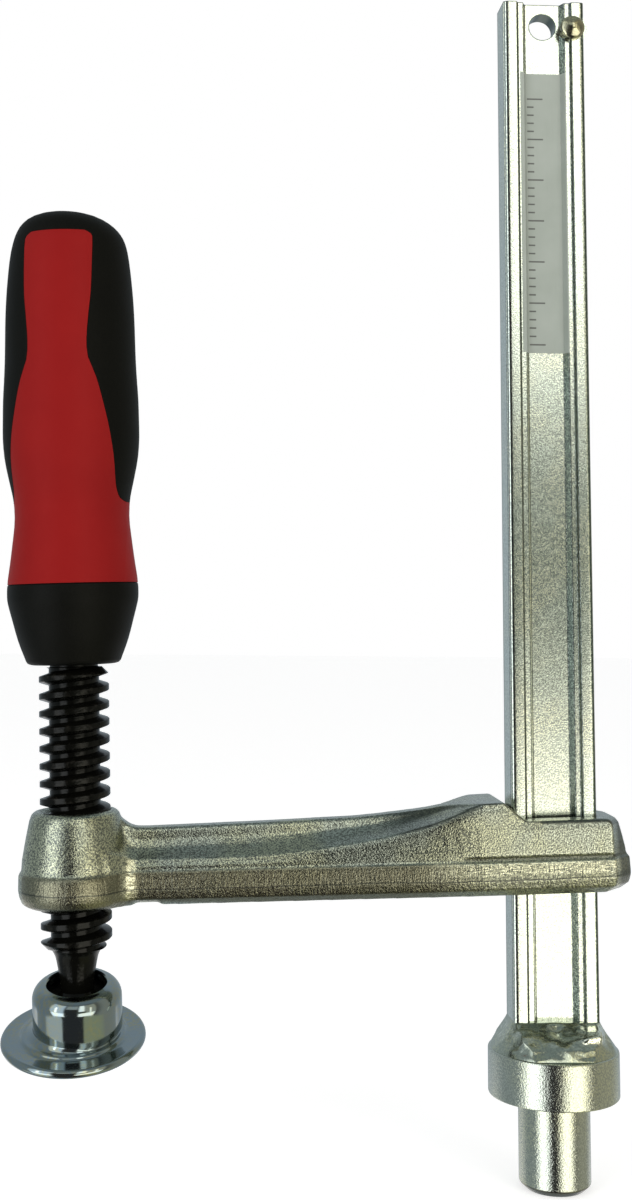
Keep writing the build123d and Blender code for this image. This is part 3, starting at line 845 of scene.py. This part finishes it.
def mirrored_ring(half, height):
    """A level closed outline from its half on the back, as (across, depth) points."""
    return [(x, -y, height) for x, y in half] + [(x, y, height) for x, y in reversed(half)]


def eyelet_ring(height, grow, reach, run):
    """The eyelet's outline seen from above: grown by grow, ending at reach, with a corner run long."""
    depth = eyelet_depth + grow
    half = [(-26, depth - 1.4), (-18, depth), (reach - run, depth), (reach, depth - 5.2)]
    return mirrored_ring(half, height)


def loft(mesh, rings):
    """Bridges closed rings of points one after another and closes both ends."""
    loops = []
    for ring in rings:
        verts = [mesh.verts.new(point) for point in ring]
        loops.append([mesh.edges.new(pair) for pair in zip(verts, verts[1:] + verts[:1])])
    for low, high in zip(loops, loops[1:]):
        bmesh.ops.bridge_loops(mesh, edges=low + high)
    for loop in (loops[0], loops[-1]):
        bmesh.ops.contextual_create(mesh, geom=loop)


def beam_ring(place):
    """The beam's whole upright section at a place, up one side and down the other."""
    half = [(place, depth, height) for depth, height in beam_half(place)]
    return [(place, -depth, height) for place, depth, height in half] + half[::-1]


stations = (
    -104, -101.5, -100, -99, -98.2, -97.4, -96.6, -95.6, -94.4, -92, -89.8, -88.8, -80, -70, -62,
    -56, -50, -45, -40, -35, -31, -28, -25, -22, -19.5, -17, -14.5, -12, -10.4, -8.8, -7.2, -4,
)
# Each row is an outline of the eyelet: its height, its growth, its reach and its corner's run
eyelet_rows = (
    (0, -1.6, 15.0, 4.6), (1.5, 0.1, 16.6, 4.6), (parting_height, 0.62, 17.1, 4.6),
    (band_top, 0.32, 17.0, 4.5), (band_top + 0.4, -groove_sink, 16.5, 4.1),
    (shelf_start, -groove_sink, 16.4, 4.1), (shelf_start + 0.4, 0, 16.3, 4.1),
    (12.0, 0, 15.6, 3.4), (14.8, 0, 14.9, 2.7), (15.8, -0.3, 14.2, 2.4), (16.2, -0.9, 13.3, 2.2),
)
boss_rows = [
    (0, 0), (10.9, 0), (12.1, 0.7), (12.7, 2.0), (13.0, 3.5), (12.9, 6.9), (12.25, 7.7),
    (12.1, 10), (11.3, 14.4), (10.4, 18.7), (9.9, 20.0), (9.0, 20.7), (0, 20.7),
]
print("beam section has", len(beam_ring(-60)), "points")

# %% Forge the arm
forging = bmesh.new()
loft(forging, [beam_ring(place) for place in stations])
loft(forging, [eyelet_ring(*row) for row in eyelet_rows])
boss = lathe(boss_rows, steps=72)
boss_place = Matrix.Translation((-spindle_offset, 0, 0))
boss.transform(boss_place)
boss_data = stored(boss, "boss")
forging.from_mesh(boss_data)
bpy.data.meshes.remove(boss_data)
outward(forging)
forging = cast(forging, grain=0.38, passes=2)
print("forged skin has", len(forging.faces), "faces")

# %% [markdown]
# After forging, the arm is machined: a slot for the rail, and a threaded hole for the spindle.
# A screw thread is one tooth outline spun about the axis while it climbs one pitch each turn, and
# the same function makes the spindle's ridge and the cutter for the hole.

# %% Thread maker
thread_pitch = 3.9
thread_radius = 8.0
core_radius = 5.75
crest_half = 0.732
crest_round = 0.16
thread_bottom = 13.3
thread_top = 75.6
thread_lead = 8.55


def threaded_rod(low, high, lead, root, crest, half, turn_steps=48):
    """A closed rod with a right-handed ridge, whose crest passes +X at the height lead."""
    slope = (crest - root) * 0.268
    flank = [
        (root, thread_pitch / 2), (root, half + slope + crest_round),
        (root + crest_round, half + slope), (crest - crest_round, half), (crest, half - crest_round),
    ]
    outline = [(radius, -height) for radius, height in flank] + flank[::-1]
    start = lead + thread_pitch * (floor((low - lead) / thread_pitch) - 1)
    turns = ceil((high - start) / thread_pitch) + 1
    rows = [(radius, start + height) for radius, height in outline]
    mesh = spun(rows, turn_steps * turns, turns, thread_pitch / turn_steps, slack=0.002)
    for height, up in ((low, -1), (high, 1)):
        bmesh.ops.bisect_plane(
            mesh, geom=mesh.verts[:] + mesh.edges[:] + mesh.faces[:], plane_co=(0, 0, height),
            plane_no=(0, 0, up), clear_outer=True, dist=0.0001,
        )
        rim = [edge for edge in mesh.edges if edge.is_boundary]
        rim = [edge for edge in rim if abs(edge.verts[0].co.z - height) < 0.001]
        bmesh.ops.contextual_create(mesh, geom=rim)
    outward(mesh)
    return mesh


print("thread depth", thread_radius - core_radius)


# %% Machine the arm
def block(sizes, centre):
    """A plain box, used as a cutter."""
    mesh = bmesh.new()
    bmesh.ops.create_cube(mesh, size=1, matrix=Matrix.Translation(centre) @ Matrix.Diagonal((*sizes, 1)))
    return mesh


def upright_edges(mesh):
    return [edge for edge in mesh.edges if abs(edge.verts[0].co.z - edge.verts[1].co.z) > 1]


def mark_rims(mesh):
    """Stores on each point near the rail how far its edge turns from the front to the top or the end;
    the arm paints shade there.
    """
    layer = mesh.verts.layers.float.new("rim")
    mesh.normal_update()
    for vert in mesh.verts:
        end, front, top = vert.normal.x, abs(vert.normal.y), vert.normal.z
        over_top = eased(top, 0.20, 0.45) * eased(vert.co.z, 13.0, 14.5) * eased(vert.co.x, -42, -32)
        over_end = eased(end, 0.20, 0.45) * eased(vert.co.x, 13.0, 14.5)
        vert[layer] = max(over_top, over_end) * eased(front, 0.15, 0.50)


fit = 0.1
slot_half_width = 10.08
slot_half_depth = 5.0
mouth_depth = 2.4
mouth_flare = 0.4

slot = block((2 * slot_half_width, 2 * slot_half_depth, 40), (0, 0, 10))
soften(slot, upright_edges(slot), 0.6)
arm = combine(forging, slot, "DIFFERENCE")
tap = threaded_rod(
    -2, 22.7, thread_lead - ball_drop, core_radius + fit, thread_radius + fit, crest_half + fit, 32
)
tap.transform(boss_place)
arm = combine(arm, tap, "DIFFERENCE")
for height, up in ((-0.1, -1), (20.8, 1)):
    deep = height - up * mouth_depth
    rows = [(0, height), (thread_radius + mouth_flare, height), (core_radius, deep), (0, deep)]
    mouth = lathe(rows, steps=48)
    mouth.transform(boss_place)
    arm = combine(arm, mouth, "DIFFERENCE")
mark_rims(arm)
finish_piece(arm, "forged_arm", "sliding_arm", on_arm, arm_finish, crease=50)

# %% [markdown]
# The spindle is the same thread on a longer core, with chamfered ends, a hollow neck and a ball.
# Ridge and core are joined, and the chamfers come from keeping only what lies inside a turned
# envelope, as a lathe would leave it.

# %% Spindle
shank_radius = 5.5
shank_length = 64.0
end_chamfer = 1.6
ball_radius = 5.5
neck_radius = 3.7
neck_meet = sqrt(ball_radius**2 - neck_radius**2)

screw = threaded_rod(
    thread_bottom - 1, thread_top + 1, thread_lead, core_radius, thread_radius, crest_half
)
envelope = [
    (0, thread_bottom), (thread_radius - end_chamfer, thread_bottom),
    (thread_radius + 0.5, thread_bottom + end_chamfer + 0.5),
    (thread_radius + 0.5, thread_top - end_chamfer - 0.5),
    (thread_radius - end_chamfer, thread_top), (0, thread_top),
]
screw = combine(screw, lathe(envelope), "INTERSECT")
ball_turns = [radians(angle) for angle in range(0, 132, 11)]
ball_rows = [(ball_radius * sin(turn), -ball_radius * cos(turn)) for turn in ball_turns]
inner_core = core_radius - 0.05
shank_top = handle_foot + shank_length
neck_rows = flowing([
    (neck_radius, neck_meet), (neck_radius * 1.03, 6.2), (neck_radius * 1.14, 8.8),
    (4.83, thread_bottom - end_chamfer), (inner_core, thread_bottom),
])
shank_rows = [
    (inner_core, thread_top - 2), (inner_core, thread_top), (shank_radius, thread_top + 0.2),
    (shank_radius, shank_top - 0.6), (shank_radius - 0.6, shank_top), (0, shank_top),
]
core = lathe([*ball_rows, *neck_rows, *shank_rows], steps=72)
screw = combine(screw, core, "UNION")
finish_piece(screw, "screw", "spindle", on_spindle, spindle_finish, crease=40)

# %% [markdown]
# The handle is two shots of plastic in one mould. Both shots start as the same turned blank. Its
# columns of points are then slid round so that one of them runs down the window's edge, and the
# blank splits cleanly there: the core keeps the window, and the grip keeps the rest.

# %% Lines of the handle
skirt_top = 18.3
grip_foot = 36.6
handle_top = 105.6
window_top = 98.9
grip_wall = 2.0
grip_gap = 0.12

# The radius of the handle's side, and half the window's width, each after its height
side_line = (
    (18.3, 14.95), (19.5, 14.85), (23.7, 14.25), (28.4, 13.68), (33.0, 13.22), (37.6, 13.47),
    (42.3, 14.45), (46.95, 15.38), (51.6, 15.8), (56.3, 15.8), (61.1, 15.72), (65.8, 15.46),
    (70.5, 15.27), (75.3, 15.18), (80.1, 15.09), (84.9, 14.87), (89.7, 14.50), (94.5, 13.98),
    (97.4, 13.42), (100.1, 12.5), (102.2, 11.1), (103.9, 8.9), (105.05, 5.9), (105.5, 2.8),
    (105.6, 0.0),
)
window_line = (
    (36.6, 13.3), (37.0, 12.6), (37.8, 12.2), (39.0, 11.95), (40.6, 11.85), (46.6, 11.9),
    (52.6, 11.3), (60.3, 9.8), (65.1, 8.55), (69.1, 7.05), (73.1, 6.8), (78.6, 7.2),
    (84.6, 7.75), (96.6, 7.95), (97.4, 7.85), (98.3, 7.3), (98.9, 6.2),
)
quarter_steps = 26
edge_step = 11


def smooth_along(line, place):
    """The value of a listed line, on a smooth curve through its points."""
    last = len(line) - 1
    for index in range(last):
        if place <= line[index + 1][0]:
            break
    before, start, end, after = (line[min(max(index + k, 0), last)] for k in (-1, 0, 1, 2))
    span = end[0] - start[0]
    t = min(1, max(0, (place - start[0]) / span))
    slope_in = (end[1] - before[1]) / (end[0] - before[0])
    slope_out = (after[1] - start[1]) / (after[0] - start[0])
    a = 2 * t**3 - 3 * t**2 + 1
    b = t**3 - 2 * t**2 + t
    c = -2 * t**3 + 3 * t**2
    d = t**3 - t**2
    return a * start[1] + b * span * slope_in + c * end[1] + d * span * slope_out


print("widest radius", max(radius for height, radius in side_line))


# %% Handle blank
def window_angle(height, radius):
    """Half the angle that the window takes at a height."""
    width = smooth_along(window_line, min(max(height, grip_foot), window_top))
    return asin(min(0.985, width / radius))


def handle_heights(low):
    """Even steps up the side, and finer ones at the grip's foot, the window's top and the cap."""
    fine = [
        grip_foot, grip_foot + 0.25, 37.4, 38.2, 39.2, 40.4, 97.4, 98.1, 98.6, window_top,
        window_top + grip_gap, 99.6, 100.5, 101.4, 102.3, 103.1, 103.9, 104.6, 105.05, 105.35,
        105.5, handle_top,
    ]
    even = [low + step for step in (0, 0.5, 1.2)] + [low + 2.2 * step for step in range(1, 40)]
    even = [h for h in even if h < 97 and min(abs(h - f) for f in fine) > 0.5]
    return sorted([h for h in fine if h > low - 0.01] + even)


def handle_blank(low):
    """A turned skin of the handle above a height, open below, with a column on the window's edge."""
    rows = [(smooth_along(side_line, height), height) for height in handle_heights(low)]
    rows[-1] = (0, handle_top)
    mesh = lathe(rows, steps=4 * quarter_steps)
    column = mesh.verts.layers.int.new("column")
    edge_angle = pi / 2 * edge_step / quarter_steps
    for vert in mesh.verts:
        radius = vert.co.xy.length
        if radius < 0.01:
            continue
        turn = asin(min(1, abs(vert.co.x) / radius))
        vert[column] = round(turn / (pi / 2) * quarter_steps)
        target = window_angle(vert.co.z, radius)
        if turn < edge_angle:
            turn = turn / edge_angle * target
        else:
            turn = target + (turn - edge_angle) / (pi / 2 - edge_angle) * (pi / 2 - target)
        vert.co.x = radius * sin(turn) * (1 if vert.co.x > 0 else -1)
        vert.co.y = radius * cos(turn) * (1 if vert.co.y > 0 else -1)
    return mesh, column


def sag_cap(mesh):
    """Lets the cap sink a little towards the right, as the moulding did when it cooled."""
    for vert in mesh.verts:
        vert.co.z -= (0.12 + 0.07 * vert.co.x) * eased(vert.co.z, 96.5, 104)


print("rows of points up the handle:", len(handle_heights(skirt_top)))


# %% Grip
def in_window(face, column):
    middle = face.calc_center_median()
    inside = sum(vert[column] for vert in face.verts) / len(face.verts) < edge_step
    return inside and middle.z < window_top


grip, column = handle_blank(grip_foot)
opening = [face for face in grip.faces if in_window(face, column)]
bmesh.ops.delete(grip, geom=opening, context="FACES")
outward(grip)
if max(grip.faces, key=lambda face: face.calc_center_median().z).normal.z < 0:
    bmesh.ops.reverse_faces(grip, faces=grip.faces)
bmesh.ops.solidify(grip, geom=grip.faces[:], thickness=grip_wall)
rim = [edge for edge in grip.edges if edge.is_manifold and edge.calc_face_angle() > radians(50)]
soften(grip, rim, 0.3)
sag_cap(grip)
finish_piece(grip, "soft_grip", "handle_grip", on_handle, grip_finish)

# %% Core
core, column = handle_blank(skirt_top)
sunk = grip_wall + grip_gap
for vert in core.verts:
    radius = vert.co.xy.length
    covered = vert.co.z > grip_foot and (vert[column] > edge_step or vert.co.z > window_top + 0.05)
    if not covered or radius < 0.01:
        continue
    if vert.co.z > window_top:
        vert.co.z -= sunk * eased(vert.co.z, window_top, handle_top)
    if vert[column] == edge_step + 1:
        edge_turn = window_angle(vert.co.z, radius)
        vert.co.x = radius * sin(edge_turn) * (1 if vert.co.x > 0 else -1)
        vert.co.y = radius * cos(edge_turn) * (1 if vert.co.y > 0 else -1)
    vert.co.xy = vert.co.xy * max(0, radius - sunk) / radius
tip = max(core.verts, key=lambda vert: vert.co.z)
tip.co.z = handle_top - sunk
foot = [edge for edge in core.edges if edge.is_boundary]
spread = bmesh.ops.extrude_edge_only(core, edges=foot)["geom"]
for vert in [item for item in spread if isinstance(item, bmesh.types.BMVert)]:
    vert.co.xy = vert.co.xy * (shank_radius + 0.05) / vert.co.xy.length
outward(core)
sag_cap(core)
finish_piece(core, "red_core", "handle_core", on_handle, core_finish)

# %% [markdown]
# Under the core sits a hard black skirt. It is a plain turned shape with a soft lower rim.

# %% Skirt
skirt_line = [
    (9.6, 0), (10.35, 0.25), (10.8, 0.75), (11.1, 1.5), (12.57, 5.4), (13.84, 10.0),
    (14.88, 14.0), (15.06, 15.9), (15.02, 17.6), (14.9, 18.1), (14.6, 18.3),
]
skirt_rows = [(shank_radius + 0.05, 0), *flowing(skirt_line, 3), (shank_radius + 0.05, skirt_top)]
skirt = lathe([*skirt_rows, skirt_rows[0]], steps=96)
finish_piece(skirt, "skirt", "handle_skirt", on_skirt, skirt_finish, crease=60)

# %% [markdown]
# The pressure plate is pressed from sheet: a flange with a rolled rim, a small step where the dome
# rises, and an open top whose rim is turned in over the ball. One outline, spun, makes both sides.

# %% Plate
plate_face = -7.6
plate_radius = 16.2
dome_radius = 10.0
dome_wall = 1.6
mouth_radius = 6.55
flange_shift = 1.1


def arc(centre, radius, start, end, count):
    """Points on an arc in the outline's plane, angles in degrees from the outward direction."""
    turns = [radians(start + (end - start) * k / count) for k in range(count + 1)]
    return [(centre[0] + radius * cos(turn), centre[1] + radius * sin(turn)) for turn in turns]


flange_top = plate_face + 2.0
foot_line = [
    (13.2, -0.06), (12.4, 0.0), (11.85, 0.22), (11.45, 0.60), (11.0, 0.74), (10.5, 0.86),
    (10.15, 1.25), (dome_radius, 1.9),
]
plate_rows = [
    (dome_radius - dome_wall + 0.05, plate_face),
    *arc((plate_radius - 1.0, plate_face + 1.0), 1.0, -90, 90, 10),
    (15.0, flange_top - 0.05), (14.0, flange_top - 0.08),
    *[(radius, flange_top + rise) for radius, rise in flowing(foot_line, 3)],
    (dome_radius, 2.6),
    *arc((dome_radius - 3.2, 3.1), 3.2, 6, 82, 9),
    (mouth_radius + 0.35, 6.42), (mouth_radius + 0.08, 6.2), (mouth_radius, 5.8),
    (mouth_radius + 0.02, 4.6), (mouth_radius + 0.4, 4.2), (dome_radius - dome_wall, 3.05),
    (dome_radius - dome_wall + 0.05, plate_face),
]
plate = lathe(plate_rows, steps=128)
for vert in plate.verts:
    if vert.co.xy.length > dome_radius - 0.1:
        vert.co.x -= flange_shift * (1 - eased(vert.co.z, flange_top + 0.6, flange_top + 2.0))
finish_piece(
    plate, "pressed_plate", "plate_shell", on_plate, plate_finish,
    crease=40,
)

# %% [markdown]
# The rail is a drawn flat bar with the same section all along. Cutting its recess out of a block
# would work too, but its outline extruded in one go is simpler and gives clean long faces. Each
# step then gets a narrow bevel, which draws the fine bright lines that run up the whole rail.

# %% Lines of the rail
rail_low = 10.0
rail_half_depth = 4.75
ledge_depth = 0.7
web_depth = 2.3
hole_radius = 3.2
stop_place = (6.8, 0, 247.2)
stop_radius = 2.9
corner_line = ((0.0, 1.3), (0.04, 0.82), (0.16, 0.42), (0.40, 0.16), (0.75, 0.05), (1.2, 0.0))


def rail_quarter():
    """A quarter of the rail's section, from the outer face's middle to the recess, in x and y."""
    face, ledge, low = rail_half_depth, rail_half_depth - ledge_depth, rail_half_depth - web_depth
    corner = [(rail_half_width - inset, face - drop) for inset, drop in corner_line]
    steps = [(lip_outer, face), (lip_inner, ledge), (step_outer, ledge), (step_inner, low)]
    return [(rail_half_width, 0), *corner, *steps]


quarter = rail_quarter()
section = (
    [(x, -y) for x, y in reversed(quarter[1:])] + quarter[1:]
    + [(-x, y) for x, y in reversed(quarter[1:])] + [(-x, -y) for x, y in quarter[1:]]
)
print("rail section has", len(section), "corners")

# %% Rail
rail = bmesh.new()
verts = [rail.verts.new((x, y, rail_low)) for x, y in section]
foot = rail.faces.new(verts)
raised = bmesh.ops.extrude_face_region(rail, geom=[foot])["geom"]
top_verts = [item for item in raised if isinstance(item, bmesh.types.BMVert)]
bmesh.ops.translate(rail, verts=top_verts, vec=(0, 0, rail_high - rail_low))
outward(rail)
inner = [edge for edge in upright_edges(rail) if abs(edge.verts[0].co.x) < 7]
soften(rail, inner, 0.14, 2)


def top_edges():
    """The edges round the rail's upper end."""
    return [edge for edge in rail.edges if all(v.co.z > rail_high - 0.01 for v in edge.verts)]


left_edges = [edge for edge in top_edges() if all(v.co.x < 0.01 - rail_half_width for v in edge.verts)]
soften(rail, left_edges, 0.9, 4)
soften(rail, top_edges(), 0.25, 2)


def crosswise(radius, x, z, half_length, steps=48):
    """A closed rod lying along Y."""
    mesh = bmesh.new()
    place = Matrix.Translation((x, 0, z)) @ Matrix.Rotation(pi / 2, 4, "X")
    bmesh.ops.create_cone(mesh, cap_ends=True, segments=steps, radius1=radius, radius2=radius,
                          depth=2 * half_length, matrix=place)
    outward(mesh)
    return mesh


swell_radius = rail_half_width - stop_place[0] + 0.8
swell = crosswise(swell_radius, stop_place[0], stop_place[2], rail_half_depth - 0.2)
keep = block((4, 12, 12), (10.95, 0, stop_place[2]))
swell = combine(swell, keep, "INTERSECT")
rail = combine(rail, swell, "UNION")
rail = combine(rail, crosswise(hole_radius, 0, hole_height, 10), "DIFFERENCE")
rail = combine(rail, crosswise(stop_radius, stop_place[0], stop_place[2], 10), "DIFFERENCE")
finish_piece(rail, "drawn_rail", "rail", on_rail, rail_finish, crease=30)

# %% [markdown]
# Two turned pins go with the rail. The short one near its top stops the arm from sliding off, and
# the thick one at its foot stands in the hole of the table. Both are spun from a half outline, and
# the close points at its corners are the small radii that a lathe tool leaves.

# %% Pins
pin_rows = [
    (0, -20), (6.2, -20), (6.7, -19.85), (7.85, -18.75), (8.0, pin_chamfer), (8.0, -0.25),
    (8.25, 0), (14.25, 0), (14.55, 0.12), (14.65, 0.4), (14.65, 9.45), (14.55, 9.8), (14.2, 10),
    (0, 10),
]
turned_pin = lathe(pin_rows, steps=128)
finish_piece(turned_pin, "pin_and_collar", "table_pin", on_rail, pin_finish)

stop_half = [(0, 6.7), (0.5, 6.66), (0.9, 6.56), (2.2, 6.05), (2.6, 5.85), (2.8, 5.65), (2.9, 5.4)]
stop_rows = [(radius, -height) for radius, height in stop_half] + stop_half[::-1]
stop = lathe(stop_rows, steps=64)
stop.transform(Matrix.Translation(stop_place) @ Matrix.Rotation(pi / 2, 4, "X"))
finish_piece(stop, "stop_stud", "stop_pin", on_rail, stop_finish)

# %% [markdown]
# A weld bead is frozen liquid: it slopes from the rail down to the collar's rim in soft lumps. It
# could be sculpted by hand, but a lofted mound gives the slope, melting it gives the soft skin, and
# noise then moves each point a little. The bead sinks into the collar, so no gap shows below it.

# %% Weld
# Each row is an outline of the mound: its height, then how far its ends and its faces reach
weld_rings = (
    (9.0, 14.5, 5.2, 8.0, 13.0), (10.0, 14.2, 5.2, 8.0, 12.6), (10.6, 13.7, 4.9, 8.0, 12.2),
    (12.0, 12.7, 4.3, 8.3, 11.1), (13.6, 11.5, 4.1, 8.6, 9.2), (15.2, 10.5, 3.9, 8.9, 6.9),
    (16.2, 10.0, 3.8, 9.1, 5.5), (16.7, 9.8, 3.8, 9.2, 4.9),
)
limit_rows = [(0, 8), (14.4, 8), (14.35, 9.7), (14.0, 10.5), (12.9, 12.4), (12.9, 18), (0, 18)]
swell_depth = 0.45
lump_depth = 0.16
bulge_depth = 1.7


def mound_ring(height, across, side, inner, deep):
    """A level outline of the weld: its ends reach across, its front and back reach deep."""
    return mirrored_ring([(-across, side), (-inner, deep), (inner, deep), (across, side)], height)


weld = bmesh.new()
loft(weld, [mound_ring(*ring) for ring in weld_rings])
outward(weld)
weld = combine(weld, lathe(limit_rows), "INTERSECT")
weld = cast(weld, grain=0.30, passes=5)
for vert in weld.verts:
    spot = vert.co
    broad = noise.noise(Vector((spot.x * 0.16 + 3.0, spot.y * 0.16, spot.z * 0.25)))
    lump = noise.noise(Vector((spot.x * 0.42, spot.y * 0.42, spot.z * 0.55)))
    front = eased(abs(spot.y), 4.5, 6.5)
    fade = eased(spot.z, 10.0, 11.5)
    uneven = swell_depth * broad + lump_depth * lump
    vert.co += vert.normal * fade * (0.15 + 0.85 * front) * uneven
    bulge = eased(spot.x, 3.5, 6.0) * (1 - eased(spot.x, 9.5, 11.5))
    bulge *= eased(spot.z, 13.0, 15.0) * (1 - eased(spot.z, 15.4, 16.4))
    vert.co.y += bulge_depth * bulge * front * (1 if spot.y > 0 else -1)
    notch = 1.1 * exp(-((spot.x + 0.6) / 1.6) ** 2) + 0.5 * exp(-((spot.x + 9.5) / 1.2) ** 2)
    vert.co.z -= (0.25 + notch * front) * eased(spot.z, 13.5, 16.5)
finish_piece(weld, "weld", "weld_bead", on_rail, weld_finish, crease=180)
